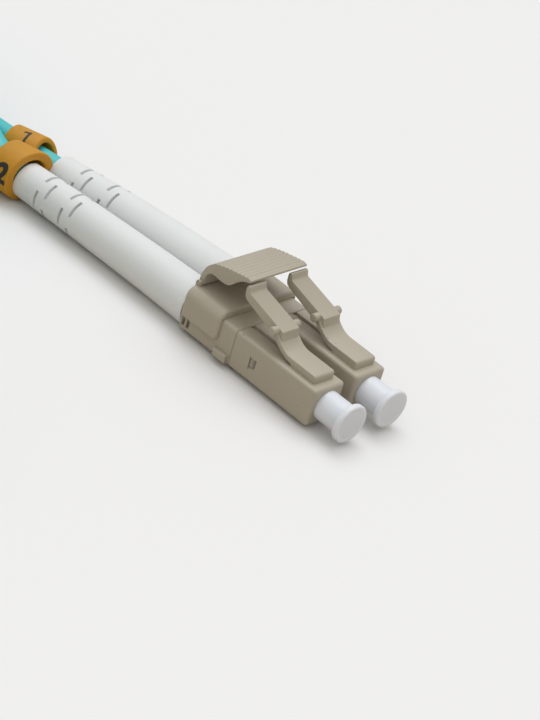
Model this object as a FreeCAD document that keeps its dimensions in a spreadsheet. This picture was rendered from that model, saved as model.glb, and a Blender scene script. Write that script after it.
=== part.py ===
"""A duplex LC fibre patch cord: two plugs in one clip, with their boots, dust caps, marker rings and cords.

Each connector is modelled in its own frame. There the plug axes lie in the plane z = 0 and run along Y, the
plug faces are at y = 0 and look towards -Y, and the latches are on top. The near connector is then lifted to
the table's frame, and the far one is laid beside the coils, at the other end of the cords. Millimetres.
"""
import FreeCAD, Part
import math
import os

import Sketcher

SIZES = [
    # the two plugs
    ("pitch", 6.25, "distance between the two plug axes"),
    ("plug_width", 4.5, "width of a plug housing"),
    ("plug_height", 4.42, "height of a plug housing"),
    ("plug_length", 11.74, "plug face to the clip"),
    ("plug_edge", 0.4, "rounding of the housing's edges"),
    ("seam_edge", 0.08, "bevel where the housing and the clip meet"),
    ("nose_bore", 1.15, "radius of the hole in the plug face"),
    ("nose_depth", 3.0, "plug face to the inner shoulder"),
    ("cavity_radius", 1.65, "radius of the housing's inside"),
    ("window_start", 8.25, "plug face to the side window"),
    ("window_length", 0.95, "side window along the plug"),
    ("window_tall", 1.2, "side window's height"),
    ("window_bevel", 0.35, "slope below the side window"),
    ("relief_start", 7.0, "front end of the groove under the lever"),
    ("relief_width", 0.7, "width of the groove under the lever"),
    ("relief_depth", 0.3, "depth of the groove under the lever"),
    # the latch lever and its root
    ("root_front", 1.15, "plug face to the latch root"),
    ("root_width", 2.9, "width of the latch root"),
    ("root_rise", 0.85, "height of the latch root above the housing"),
    ("root_edge", 0.3, "rounding of the latch root's front"),
    ("hinge_place", 4.75, "plug face to the lever's flexure"),
    ("hinge_rise", 0.5, "lever's flexure above the housing"),
    ("knuckle_radius", 0.36, "radius of the lever's root"),
    ("arm_low", 3.3, "underside of the arm below the step"),
    ("step_place", 6.6, "plug face to the foot of the step"),
    ("step_foot", 3.81, "height of the step's foot"),
    ("step_lean", 0.35, "how far the step leans back"),
    ("step_top", 4.83, "height of the step's top"),
    ("step_edge", 0.25, "rounding of the step"),
    ("tail_width", 2.5, "width of the lever behind the step"),
    ("tail_end", 12.9, "plug face to the lever's tail"),
    ("tail_top", 6.24, "height of the tail"),
    ("tail_low", 5.45, "underside of the tail's end"),
    ("tail_bend", 9.3, "plug face to the bend in the underside"),
    ("tail_bend_low", 4.29, "height of the bend in the underside"),
    ("nub_long", 0.5, "length of the nub under the trigger"),
    ("nub_top", 6.9, "height of the nub"),
    ("ear_place", 7.75, "plug face to the middle of the locking ears"),
    ("ear_height", 4.65, "height of the middle of the locking ears"),
    ("ear_span", 4.05, "width over the locking ears"),
    ("ear_radius", 0.5, "radius of a locking ear"),
    ("ear_edge", 0.2, "rounding of an ear"),
    # the ferrule and what is behind it
    ("ferrule_radius", 0.625, "radius of the ferrule"),
    ("ferrule_reach", 1.8, "ferrule tip in front of the plug face"),
    ("ferrule_back", 5.9, "rear end of the ferrule"),
    ("ferrule_bevel", 0.12, "bevel at the ferrule's tip"),
    ("holder_flange", 1.45, "radius of the ferrule holder's flange"),
    ("holder_flange_long", 1.0, "length of the flange"),
    ("holder_radius", 1.0, "radius of the holder behind its flange"),
    ("holder_step", 6.6, "where the spring sits on the holder"),
    ("holder_tube", 0.75, "radius of the holder's tube"),
    ("holder_end", 12.5, "rear end of the holder's tube"),
    ("fibre_bore", 0.35, "radius of the bore through the holder"),
    ("spring_radius", 1.03, "mean radius of the spring"),
    ("spring_wire", 0.15, "radius of the spring's wire"),
    ("spring_turns", 5, "turns of the spring"),
    ("back_front", 6.75, "front end of the rear body"),
    ("chamber_radius", 1.35, "radius of the spring chamber"),
    ("chamber_end", 10.6, "floor of the spring chamber"),
    ("back_flange", 1.85, "radius of the rear body's flange"),
    ("back_flange_long", 0.9, "length of the rear body's flange"),
    ("post_radius", 1.2, "radius of the crimp post"),
    ("post_end", 17.6, "rear end of the crimp post"),
    ("snap_reach", 2.1, "plug axis to the face of a snap lug"),
    ("sleeve_wall", 0.3, "wall of the crimp sleeve"),
    ("sleeve_front", 13.3, "front end of the crimp sleeve"),
    ("sleeve_back", 18.4, "rear end of the crimp sleeve"),
    # the clip: base and cover
    ("clip_end", 19.3, "plug face to the rear end of the clip"),
    ("clip_bore", 1.95, "radius of the clip's front bores"),
    ("clip_bore_end", 15.4, "rear end of the front bores"),
    ("collar_radius", 2.15, "radius of the boot's collar"),
    ("lug_front", 11.95, "front end of the base's side lug"),
    ("lug_long", 1.9, "length of the side lug"),
    ("lug_low", -2.0, "underside of the side lug"),
    ("lug_tall", 0.9, "height of the side lug"),
    ("lug_reach", 0.5, "how far the side lug stands out"),
    ("slot_long", 0.42, "length of a slot at the base's rear corner"),
    ("slot_step", 0.66, "distance between the two slots"),
    ("slot_low", -1.65, "lower end of the slots"),
    ("slot_deep", 0.5, "depth of the slots"),
    ("cover_front", 13.9, "front edge of the cover"),
    ("cover_top", 3.1, "height of the cover"),
    ("cover_wall", 0.4, "side wall of the cover"),
    ("cover_low", -0.5, "lower edge of the cover"),
    ("cover_round", 1.25, "rounding of the cover's top"),
    ("cover_corner", 0.65, "rounding of the cover's lower front corner"),
    ("cover_edge", 0.32, "rounding of the cover's front and rear edges"),
    # the trigger
    ("trigger_width", 8.4, "width of the trigger"),
    ("pivot_place", 18.98, "plug face to the trigger's flexure"),
    ("pivot_height", 3.4, "height of the trigger's flexure"),
    ("pivot_radius", 0.36, "radius of the trigger's root"),
    ("pin_radius", 0.2, "radius of the trigger's stub pins"),
    ("cheek_width", 0.42, "width of the cheeks that hold the pins"),
    ("trigger_wall", 0.45, "thickness of the trigger"),
    ("heel_place", 19.3, "outside of the trigger's rear wall"),
    ("heel_height", 3.75, "height where the rear wall starts to lean"),
    ("heel_bulge", 0.1, "how far the rear wall bulges between the heel and the crest"),
    ("crest_place", 18.4, "top corner of the rear wall"),
    ("crest_height", 6.09, "height of that corner"),
    ("brow_place", 17.1, "rear end of the ribbed top"),
    ("brow_height", 6.75, "height there"),
    ("lip_place", 12.8, "front edge of the trigger"),
    ("lip_height", 7.62, "height of the front edge"),
    ("belly_rear", 17.54, "rear end of the belly"),
    ("belly_rear_low", 4.95, "height there"),
    ("belly_front", 15.3, "front end of the belly"),
    ("belly_front_low", 5.15, "height there"),
    ("hollow_place", 14.3, "where the underside turns forward"),
    ("hollow_low", 6.4, "height there"),
    ("rib_count", 7, "ribs across the trigger"),
    ("rib_depth", 0.2, "depth between the ribs"),
    # boots
    ("boot_length", 26.7, "clip to the rear end of a boot"),
    ("boot_front_radius", 2.68, "radius of a boot at the clip"),
    ("boot_back_radius", 2.1, "radius of a boot at its rear end"),
    ("boot_collar_front", 15.5, "front end of the boot's collar"),
    ("slit_width", 0.36, "width of the boot's slits"),
    ("slit_floor", 1.72, "radius of the slits' floor"),
    ("slit_angle", 56, "angle that a slit covers"),
    ("slit_back", 3.4, "rear end of a boot to its last slit"),
    ("slit_step", 1.3, "distance between the two slits of a group"),
    ("slit_group", 3.9, "distance between the groups of slits"),
    ("boot_side_1", -2.425, "how far the end of the near connector's first boot bends sideways"),
    ("boot_drop_1", -0.3, "how far that end drops"),
    ("boot_side_2", -1.175, "how far the end of the near connector's second boot bends sideways"),
    ("boot_drop_2", -0.1, "how far that end drops"),
    ("far_boot_side", -0.9, "how far the ends of the far connector's boots bend sideways"),
    # dust caps
    ("cap_flange", 2.22, "radius of the cap's flange"),
    ("cap_flange_long", 0.75, "thickness of the flange"),
    ("cap_edge", 0.2, "rounding of the flange's rim"),
    ("cap_tube", 1.7, "radius of the cap's tube"),
    ("cap_front", 3.85, "front of the cap before the plug face"),
    ("cap_nose_long", 1.2, "length of the cap's nose in the plug"),
    ("cap_dish", 0.08, "depth of the cap's dished face"),
    ("cap_blind", 2.05, "end of the cap's bore before the plug face"),
    # marker rings
    ("ring_radius", 2.8, "outer radius of a marker ring"),
    ("ring_wall", 0.65, "wall of a marker ring"),
    ("ring_long", 4.0, "length of a marker ring"),
    ("ring_slant", 0.8, "how much longer a ring is on one side"),
    # cords
    ("cord_radius", 1.5, "radius of a cord"),
    ("coil_radius", 18.0, "radius at the middle of the coil's turns"),
    ("coil_rows", 4, "turns side by side in a coil"),
    ("coil_layers", 2, "layers of turns of each cord"),
    ("coil_x", -22.4, "middle of the coil, across"),
    ("coil_y", 75.0, "middle of the coil, behind the plug faces"),
    # places and fits
    ("far_x", -48.0, "middle of the far connector, across"),
    ("far_y", 13.0, "far plug faces, behind the near plug faces"),
    ("seat", 0.02, "gap between seated faces"),
    ("fit", 0.05, "radial gap of round fits"),
    ("slack", 0.1, "radial gap round a cord"),
]

doc = FreeCAD.newDocument("fibre_connector")
sheet = doc.addObject("Spreadsheet::Sheet", "dims")


class Size:
    """A size in millimetres, with the sheet expression that it comes from. Sums and products keep both."""

    def __init__(self, value, text):
        self.value, self.text = float(value), text

    def __add__(self, other):
        other = as_size(other)
        return Size(self.value + other.value, f"({self.text} + {other.text})")

    def __sub__(self, other):
        other = as_size(other)
        return Size(self.value - other.value, f"({self.text} - {other.text})")

    def __mul__(self, other):
        other = as_size(other)
        return Size(self.value * other.value, f"{self.text} * {other.text}")

    def __truediv__(self, other):
        other = as_size(other)
        return Size(self.value / other.value, f"{self.text} / {other.text}")

    def __neg__(self):
        return Size(-self.value, f"(-1 * {self.text})")

    def __radd__(self, other):
        return as_size(other) + self

    def __rsub__(self, other):
        return as_size(other) - self

    def __rmul__(self, other):
        return as_size(other) * self


def as_size(number):
    return number if isinstance(number, Size) else Size(number, f"({number:.9g})")


class Dims:
    """The driving dimensions, one attribute each, as the spreadsheet holds them."""


d = Dims()
for row, (alias, value, meaning) in enumerate(SIZES, start=1):
    sheet.set(f"A{row}", meaning)
    sheet.set(f"B{row}", f"{value:g}")
    sheet.setAlias(f"B{row}", alias)
    setattr(d, alias, Size(value, f"dims.{alias}"))
doc.recompute()

BACK = FreeCAD.Rotation(FreeCAD.Vector(1, 0, 0), -90)  # turns +Z to +Y
parts = []


# ---------------------------------------------------------------- helpers


def bind(thing, name, size):
    """Sets a property from a size and ties it to the sheet."""
    thing.setExpression(name, as_size(size).text)


def new_body(label):
    body = doc.addObject("PartDesign::Body", label)
    body.Label = label
    parts.append(body)
    return body


def sketch_on(body, role, offset=0):
    """A sketch on one of the body's origin planes, moved by offset along the plane's normal."""
    flat = [f for f in body.Origin.OriginFeatures if f.Role == role][0]
    sketch = body.newObject("Sketcher::SketchObject", f"{body.Name}_sketch")
    sketch.AttachmentSupport = [(flat, "")]
    sketch.MapMode = "FlatFace"
    offset = as_size(offset)
    sketch.AttachmentOffset = FreeCAD.Placement(FreeCAD.Vector(0, 0, offset.value), FreeCAD.Rotation())
    bind(sketch, "AttachmentOffset.Base.z", offset)
    return sketch


def across_y(body, y):
    """A sketch that looks along the plug at the distance y behind the plug faces."""
    return sketch_on(body, "XZ_Plane", -as_size(y))


def hold(sketch, kind, element, point, size):
    """Ties one coordinate of a sketch point to a size."""
    size = as_size(size)
    index = sketch.addConstraint(Sketcher.Constraint(kind, -1, 1, element, point, size.value))
    bind(sketch, f"Constraints[{index}]", size)


def draw_outline(sketch, points):
    """A closed outline of straight lines whose corners are tied to sizes."""
    ends = [FreeCAD.Vector(as_size(a).value, as_size(b).value, 0) for a, b in points]
    first = sketch.GeometryCount
    count = len(points)
    for k in range(count):
        sketch.addGeometry(Part.LineSegment(ends[k], ends[(k + 1) % count]))
    for k in range(count):
        following = first + (k + 1) % count
        sketch.addConstraint(Sketcher.Constraint("Coincident", first + k, 2, following, 1))
    for k, (a, b) in enumerate(points):
        hold(sketch, "DistanceX", first + k, 1, a)
        hold(sketch, "DistanceY", first + k, 1, b)


def draw_box(sketch, middle, wide, low, high):
    """A rectangle: its middle and width across, and its low and high edges."""
    left, right = middle - wide / 2, middle + wide / 2
    draw_outline(sketch, [(left, low), (right, low), (right, high), (left, high)])


def draw_circle(sketch, a, b, radius):
    radius = as_size(radius)
    centre = FreeCAD.Vector(as_size(a).value, as_size(b).value, 0)
    index = sketch.addGeometry(Part.Circle(centre, FreeCAD.Vector(0, 0, 1), radius.value))
    hold(sketch, "DistanceX", index, 3, a)
    hold(sketch, "DistanceY", index, 3, b)
    tied = sketch.addConstraint(Sketcher.Constraint("Radius", index, radius.value))
    bind(sketch, f"Constraints[{tied}]", radius)


def grow(body, kind, sketch, length, both_ways=False, reverse=False):
    """A Pad or Pocket of the given length."""
    feature = body.newObject(f"PartDesign::{kind}", f"{body.Name}_{kind.lower()}")
    feature.Profile = sketch
    feature.Length = as_size(length).value
    bind(feature, "Length", length)
    feature.SideType = "Symmetric" if both_ways else "One side"
    feature.Reversed = reverse
    doc.recompute()
    return feature


def pad_back(body, sketch, length):
    """Pads a sketch made by across_y towards the rear."""
    return grow(body, "Pad", sketch, length, reverse=True)


def cut_back(body, sketch, length):
    """Pockets a sketch made by across_y towards the rear."""
    return grow(body, "Pocket", sketch, length)


def side_profile(body, kind, points, wide, middle=0):
    """Pads or pockets an outline in (y, z) across X, half to each side of the middle."""
    sketch = sketch_on(body, "YZ_Plane", middle)
    draw_outline(sketch, points)
    return grow(body, kind, sketch, wide, both_ways=True)


def turned(body, kind, points, about="Y_Axis", role="XY_Plane"):
    """A Revolution or Groove of an outline in (radius, distance along the axis)."""
    sketch = sketch_on(body, role)
    draw_outline(sketch, points)
    feature = body.newObject(f"PartDesign::{kind}", f"{body.Name}_{kind.lower()}")
    feature.Profile = sketch
    axis = [f for f in body.Origin.OriginFeatures if f.Role == about][0]
    feature.ReferenceAxis = (axis, [""])
    feature.Angle = 360
    doc.recompute()
    return feature


def soften(body, kind, wanted, size):
    """Fillets or chamfers the edges of the body's tip that wanted() picks."""
    tip = body.Tip
    names = [f"Edge{n}" for n, edge in enumerate(tip.Shape.Edges, start=1) if wanted(edge)]
    feature = body.newObject(f"PartDesign::{kind}", f"{body.Name}_{kind.lower()}")
    feature.Base = (tip, names)
    name = "Radius" if kind == "Fillet" else "Size"
    setattr(feature, name, as_size(size).value)
    bind(feature, name, size)
    doc.recompute()
    return feature


def near(a, b, within=1e-4):
    return abs(as_size(a).value - as_size(b).value) < within


def runs_along(edge, letter):
    """True for a straight edge along the named axis."""
    box = edge.BoundBox
    spans = {"x": box.XLength, "y": box.YLength, "z": box.ZLength}
    own = spans.pop(letter)
    return own > 1e-4 and max(spans.values()) < 1e-4


# the origin is at the bottom centre of the near connector: its left side is the end of the second boot
base_half = (d.pitch + d.plug_width) / 2
boot_end = d.clip_end + d.seat + d.boot_length
left = d.pitch / 2 - d.boot_side_2 + d.boot_back_radius
middle_x = (base_half + d.lug_reach - left) / 2
middle_y = (boot_end - d.cap_front) / 2
axis_height = d.boot_front_radius


def place(thing, connector, across=0):
    """Lays a piece, modelled in its connector's frame, where that connector lies."""
    x = connector["x"] + as_size(across) - middle_x
    y = connector["y"] - middle_y
    spot = FreeCAD.Vector(x.value, y.value, axis_height.value)
    thing.Placement = FreeCAD.Placement(spot, FreeCAD.Rotation())
    bind(thing, "Placement.Base.x", x)
    bind(thing, "Placement.Base.y", y)
    bind(thing, "Placement.Base.z", axis_height)


# ---------------------------------------------------------------- pieces of one plug

plug_top = d.plug_height / 2
hinge_height = plug_top + d.hinge_rise
root_top = plug_top + d.root_rise
clip_front = d.plug_length + d.seat


def make_housing(label):
    """The plug's moulded front: a square tube with side windows and the latch lever's root on top."""
    body = new_body(label)
    sketch = across_y(body, 0)
    draw_box(sketch, as_size(0), d.plug_width, -plug_top, plug_top)
    pad_back(body, sketch, d.plug_length)
    soften(body, "Fillet", lambda e: runs_along(e, "y") or near(e.BoundBox.YMax, 0), d.plug_edge)
    soften(body, "Chamfer", lambda e: near(e.BoundBox.YMin, d.plug_length), d.seam_edge)
    root_back = d.hinge_place - 0.4 * d.knuckle_radius
    root = [(d.root_front, 0), (root_back, 0), (root_back, root_top), (d.root_front, root_top)]
    side_profile(body, "Pad", root, d.root_width)

    def on_root_front(edge):
        box = edge.BoundBox
        on_top = near(box.ZMax, root_top) and not near(box.YMin, root_back)
        return on_top and not near(box.ZMin, plug_top)

    soften(body, "Fillet", on_root_front, d.root_edge)
    seat = sketch_on(body, "YZ_Plane")
    draw_circle(seat, d.hinge_place, hinge_height, d.knuckle_radius + d.fit)
    grow(body, "Pocket", seat, 2 * d.root_width, both_ways=True)
    bores = [
        (0, d.nose_bore, d.nose_depth),
        (d.nose_depth, d.cavity_radius, d.plug_length - d.nose_depth),
    ]
    for start, radius, length in bores:
        sketch = across_y(body, start)
        draw_circle(sketch, 0, 0, radius)
        cut_back(body, sketch, length)
    window_end = d.window_start + d.window_length
    half = d.window_tall / 2
    window = [(d.window_start, -half), (window_end, -half), (window_end, half), (d.window_start, half)]
    side_profile(body, "Pocket", window, 2 * d.plug_width)
    for side in (-1, 1):
        face = side * d.plug_width / 2
        slope = sketch_on(body, "XZ_Plane", -d.window_start)
        inside = face - side * d.window_bevel
        draw_outline(slope, [(face, -half), (face, -half - d.window_bevel), (inside, -half)])
        cut_back(body, slope, d.window_length)
    relief = sketch_on(body, "XY_Plane", plug_top - d.relief_depth)
    half_relief = d.relief_width / 2
    corners = [
        (-half_relief, d.relief_start),
        (half_relief, d.relief_start),
        (half_relief, d.plug_length),
        (-half_relief, d.plug_length),
    ]
    draw_outline(relief, corners)
    grow(body, "Pocket", relief, 2 * d.relief_depth, reverse=True)
    return body


def make_lever(label):
    """The latch lever: a thick arm with a step, two locking ears and a nub under the trigger."""
    body = new_body(label)
    knuckle = sketch_on(body, "YZ_Plane")
    draw_circle(knuckle, d.hinge_place, hinge_height, d.knuckle_radius)
    grow(body, "Pad", knuckle, d.root_width, both_ways=True)
    arm_top = hinge_height + 0.9 * d.knuckle_radius
    arm_low = hinge_height - 0.9 * d.knuckle_radius
    step_back = d.step_place + d.step_lean
    rise_long, rise_tall = d.step_place - d.hinge_place, d.step_foot - arm_top
    rise = []
    for n in range(6, 0, -1):
        share = n / 7
        rise.append((d.hinge_place + share * rise_long, arm_top + share**1.5 * rise_tall))
    arm = [
        (d.hinge_place, arm_low),
        (step_back, d.arm_low),
        (step_back + d.step_lean, d.step_top - d.step_edge),
        (d.step_place, d.step_foot),
        *rise,
        (d.hinge_place, arm_top),
    ]
    side_profile(body, "Pad", arm, d.root_width)
    nub_front = d.tail_end - d.nub_long
    tail = [
        (d.step_place - d.step_lean, d.arm_low - d.step_lean / 2),
        (d.tail_bend, d.tail_bend_low),
        (d.tail_end, d.tail_low),
        (d.tail_end, d.nub_top),
        (nub_front, d.nub_top),
        (nub_front, d.tail_top),
        (step_back, d.step_top),
        (d.step_place, d.step_foot),
    ]
    side_profile(body, "Pad", tail, d.tail_width)

    def on_step(edge):
        box = edge.BoundBox
        at_step = near(box.YMin, step_back) and near(box.ZMin, d.step_top)
        at_nub = near(box.ZMin, d.nub_top)
        return runs_along(edge, "x") and (at_step or at_nub)

    soften(body, "Fillet", on_step, d.step_edge * 0.8)
    ears = sketch_on(body, "YZ_Plane")
    draw_circle(ears, d.ear_place, d.ear_height, d.ear_radius)
    grow(body, "Pad", ears, d.ear_span, both_ways=True)
    face = d.ear_span / 2

    def on_ear(edge):
        box = edge.BoundBox
        return near(box.XMin, box.XMax) and near(abs(box.XMax), face)

    soften(body, "Fillet", on_ear, d.ear_edge)
    return body


def make_ferrule(label):
    body = new_body(label)
    tip, back = -d.ferrule_reach, d.ferrule_back
    turned(body, "Revolution", [(0, tip), (d.ferrule_radius, tip), (d.ferrule_radius, back), (0, back)])
    soften(body, "Chamfer", lambda e: near(e.BoundBox.YMax, tip), d.ferrule_bevel)
    return body


def make_holder(label):
    """The ferrule holder: its flange rests on the housing's shoulder and its tube guides the spring."""
    body = new_body(label)
    front = d.nose_depth + d.seat
    back = front + d.holder_flange_long
    outline = [
        (d.ferrule_radius + d.seat, front),
        (d.holder_flange, front),
        (d.holder_flange, back),
        (d.holder_radius, back),
        (d.holder_radius, d.holder_step),
        (d.holder_tube, d.holder_step),
        (d.holder_tube, d.holder_end),
        (d.fibre_bore, d.holder_end),
        (d.fibre_bore, d.ferrule_back),
        (d.ferrule_radius + d.seat, d.ferrule_back),
    ]
    turned(body, "Revolution", outline)
    return body


def make_spring(label):
    """The coil spring between the ferrule holder and the rear body's chamber floor."""
    wire = d.spring_wire
    long = d.chamber_end - d.holder_step - 2 * d.seat - 2 * wire
    helix = doc.addObject("Part::Helix", f"{label}_helix")
    bind(helix, "Pitch", long / d.spring_turns)
    bind(helix, "Height", long)
    bind(helix, "Radius", d.spring_radius)
    helix.SegmentLength = 1
    section = doc.addObject("Part::Circle", f"{label}_wire")
    bind(section, "Radius", wire)
    section.Placement = FreeCAD.Placement(
        FreeCAD.Vector(d.spring_radius.value, 0, 0), FreeCAD.Rotation(FreeCAD.Vector(1, 0, 0), 90)
    )
    bind(section, "Placement.Base.x", d.spring_radius)
    doc.recompute()
    sweep = doc.addObject("Part::Sweep", f"{label}_sweep")
    sweep.Sections = [section]
    sweep.Spine = (helix, [f"Edge{n + 1}" for n in range(len(helix.Shape.Edges))])
    sweep.Solid = True
    sweep.Frenet = True
    start = d.holder_step + d.seat + wire
    sweep.Placement = FreeCAD.Placement(FreeCAD.Vector(0, start.value, 0), BACK)
    bind(sweep, "Placement.Base.y", start)
    spring = doc.addObject("Part::Compound", label)
    spring.Links = [sweep]
    spring.Label = label
    doc.recompute()
    parts.append(spring)
    return spring


def make_rear_body(label):
    """The rear body: spring chamber, snap lugs in the side windows, flange and crimp post."""
    body = new_body(label)
    inside = d.cavity_radius - d.fit
    flange_front = clip_front + d.seat
    flange_back = flange_front + d.back_flange_long
    outline = [
        (0, d.back_front),
        (inside, d.back_front),
        (inside, flange_front),
        (d.back_flange, flange_front),
        (d.back_flange, flange_back),
        (d.post_radius, flange_back),
        (d.post_radius, d.post_end),
        (0, d.post_end),
    ]
    turned(body, "Revolution", outline)
    front = d.window_start + d.fit
    back = d.window_start + d.window_length - d.fit
    half = d.window_tall / 2 - d.fit
    slope = d.snap_reach - d.cavity_radius
    lugs = sketch_on(body, "XY_Plane")
    corners = [
        (-d.cavity_radius + d.fit, front),
        (d.cavity_radius - d.fit, front),
        (d.snap_reach, front + slope),
        (d.snap_reach, back),
        (-d.snap_reach, back),
        (-d.snap_reach, front + slope),
    ]
    draw_outline(lugs, corners)
    grow(body, "Pad", lugs, 2 * half, both_ways=True)
    bore = d.holder_tube + d.fit
    hollow = [
        (0, d.back_front),
        (d.chamber_radius, d.back_front),
        (d.chamber_radius, d.chamber_end),
        (bore, d.chamber_end),
        (bore, d.post_end),
        (0, d.post_end),
    ]
    turned(body, "Groove", hollow)
    return body


def make_sleeve(label):
    """The crimp sleeve over the post, with its stepped rear end."""
    body = new_body(label)
    inner = d.post_radius + d.seat
    outer = inner + d.sleeve_wall
    step = d.post_end + d.seat
    outline = [
        (inner, d.sleeve_front),
        (outer, d.sleeve_front),
        (outer, d.sleeve_back),
        (inner - d.sleeve_wall, d.sleeve_back),
        (inner - d.sleeve_wall, step),
        (inner, step),
    ]
    turned(body, "Revolution", outline)
    return body


def make_cap(label):
    """The dust cap: a dished flange on a tube that goes over the ferrule, with a nose in the plug face."""
    body = new_body(label)
    front = -d.cap_front
    back = front + d.cap_flange_long
    bore = d.ferrule_radius + d.fit
    outline = [
        (0, front + d.cap_dish),
        (0.75 * d.cap_flange, front + d.cap_dish),
        (0.85 * d.cap_flange, front),
        (d.cap_flange, front),
        (d.cap_flange, back),
        (d.cap_tube, back),
        (d.cap_tube, -d.seat),
        (d.nose_bore - d.fit, -d.seat),
        (d.nose_bore - d.fit, d.cap_nose_long),
        (bore, d.cap_nose_long),
        (bore, -d.cap_blind),
        (0, -d.cap_blind),
    ]
    turned(body, "Revolution", outline)

    def on_rim(edge):
        box = edge.BoundBox
        return near(box.XMax, d.cap_flange) and near(box.YMin, box.YMax)

    soften(body, "Fillet", on_rim, d.cap_edge)
    return body


def boot_circle(label, along, radius, side, drop):
    """A circle square to Y on the boot's centre line, a share `along` of the way down the boot."""
    bend = along**1.6
    circle = doc.addObject("Part::Circle", label)
    bind(circle, "Radius", radius)
    spot = (bend * side, d.clip_end + d.seat + along * d.boot_length, bend * drop)
    circle.Placement = FreeCAD.Placement(FreeCAD.Vector(*[v.value for v in spot]), BACK)
    for letter, size in zip("xyz", spot):
        bind(circle, f"Placement.Base.{letter}", size)
    return circle


def boot_loft(label, first_radius, last_radius, side, drop):
    """A round tapered bar along the boot's bent centre line."""
    circles = []
    for n in range(5):
        along = n / 4
        radius = first_radius + along * (last_radius - first_radius)
        circles.append(boot_circle(f"{label}_{n}", along, radius, side, drop))
    loft = doc.addObject("Part::Loft", label)
    loft.Sections = circles
    loft.Solid = True
    return loft


def bar_back(label, radius, start, length, middle=(0, 0), angle=None, turn=0):
    """A round bar along Y, or the sector of one."""
    bar = doc.addObject("Part::Cylinder", label)
    bind(bar, "Radius", radius)
    bind(bar, "Height", length)
    if angle is not None:
        bind(bar, "Angle", angle)
    spot = (as_size(middle[0]), as_size(start), as_size(middle[1]))
    roll = FreeCAD.Rotation(FreeCAD.Vector(0, 0, 1), turn)
    bar.Placement = FreeCAD.Placement(FreeCAD.Vector(*[v.value for v in spot]), BACK * roll)
    for letter, size in zip("xyz", spot):
        bind(bar, f"Placement.Base.{letter}", size)
    return bar


def joined(label, things):
    fuse = doc.addObject("Part::MultiFuse", label)
    fuse.Shapes = things
    return fuse


def cut_from(label, base, tool):
    cut = doc.addObject("Part::Cut", label)
    cut.Base, cut.Tool = base, tool
    return cut


SLIT_TURNS = (-28, 17)  # degrees: how the two slits of a group are turned about the boot


def make_boot(label, side, drop):
    """The bend relief: a tapered soft tube with two groups of slits, turned in turn, near its rear end."""
    front = d.clip_end + d.seat
    outside = boot_loft(f"{label}_outside", d.boot_front_radius, d.boot_back_radius, side, drop)
    collar_long = front - d.boot_collar_front + d.seat
    collar = bar_back(f"{label}_collar", d.collar_radius, d.boot_collar_front, collar_long)
    solid = joined(f"{label}_solid", [outside, collar])
    bore_radius = d.cord_radius + d.slack
    tools = [boot_loft(f"{label}_bore", bore_radius, bore_radius, side, drop)]
    sleeve_room = d.post_radius + d.sleeve_wall + 3 * d.seat
    room_long = front - d.boot_collar_front + 2 * d.seat
    tools.append(bar_back(f"{label}_room", sleeve_room, d.boot_collar_front, room_long))
    for n in range(4):
        station = d.slit_back + (n % 2) * d.slit_step + (n // 2) * d.slit_group
        along = 1 - station / d.boot_length
        bend = along.value**1.6
        middle = (bend * side, bend * drop)
        start = front + along * d.boot_length - d.slit_width / 2
        sectors = []
        for quarter in range(4):
            turn = 90 * quarter + SLIT_TURNS[n % 2]
            name = f"{label}_slit_{n}_{quarter}"
            reach = 2 * d.boot_front_radius
            sectors.append(bar_back(name, reach, start, d.slit_width, middle, d.slit_angle, turn))
        core = bar_back(f"{label}_core_{n}", d.slit_floor, start - d.slit_width, 3 * d.slit_width, middle)
        tools.append(cut_from(f"{label}_slits_{n}", joined(f"{label}_sectors_{n}", sectors), core))
    boot = cut_from(label, solid, joined(f"{label}_tools", tools))
    boot.Label = label
    doc.recompute()
    parts.append(boot)
    return boot


def make_ring(label):
    """A marker ring: a short soft tube with slanting ends, modelled about its own middle."""
    body = new_body(label)
    half = d.ring_long / 2
    inner = d.ring_radius - d.ring_wall
    turned(body, "Revolution", [(inner, -half), (d.ring_radius, -half), (d.ring_radius, half), (inner, half)])
    ends = sketch_on(body, "XY_Plane")
    wide = 1.2 * d.ring_radius
    draw_outline(ends, [(-wide, -2 * half), (wide, -half), (-wide, -half + d.ring_slant)])
    draw_outline(ends, [(wide, 2 * half), (-wide, half), (wide, half - d.ring_slant)])
    grow(body, "Pocket", ends, 4 * d.ring_radius, both_ways=True)
    return body


# ---------------------------------------------------------------- the clip that joins two plugs

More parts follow.
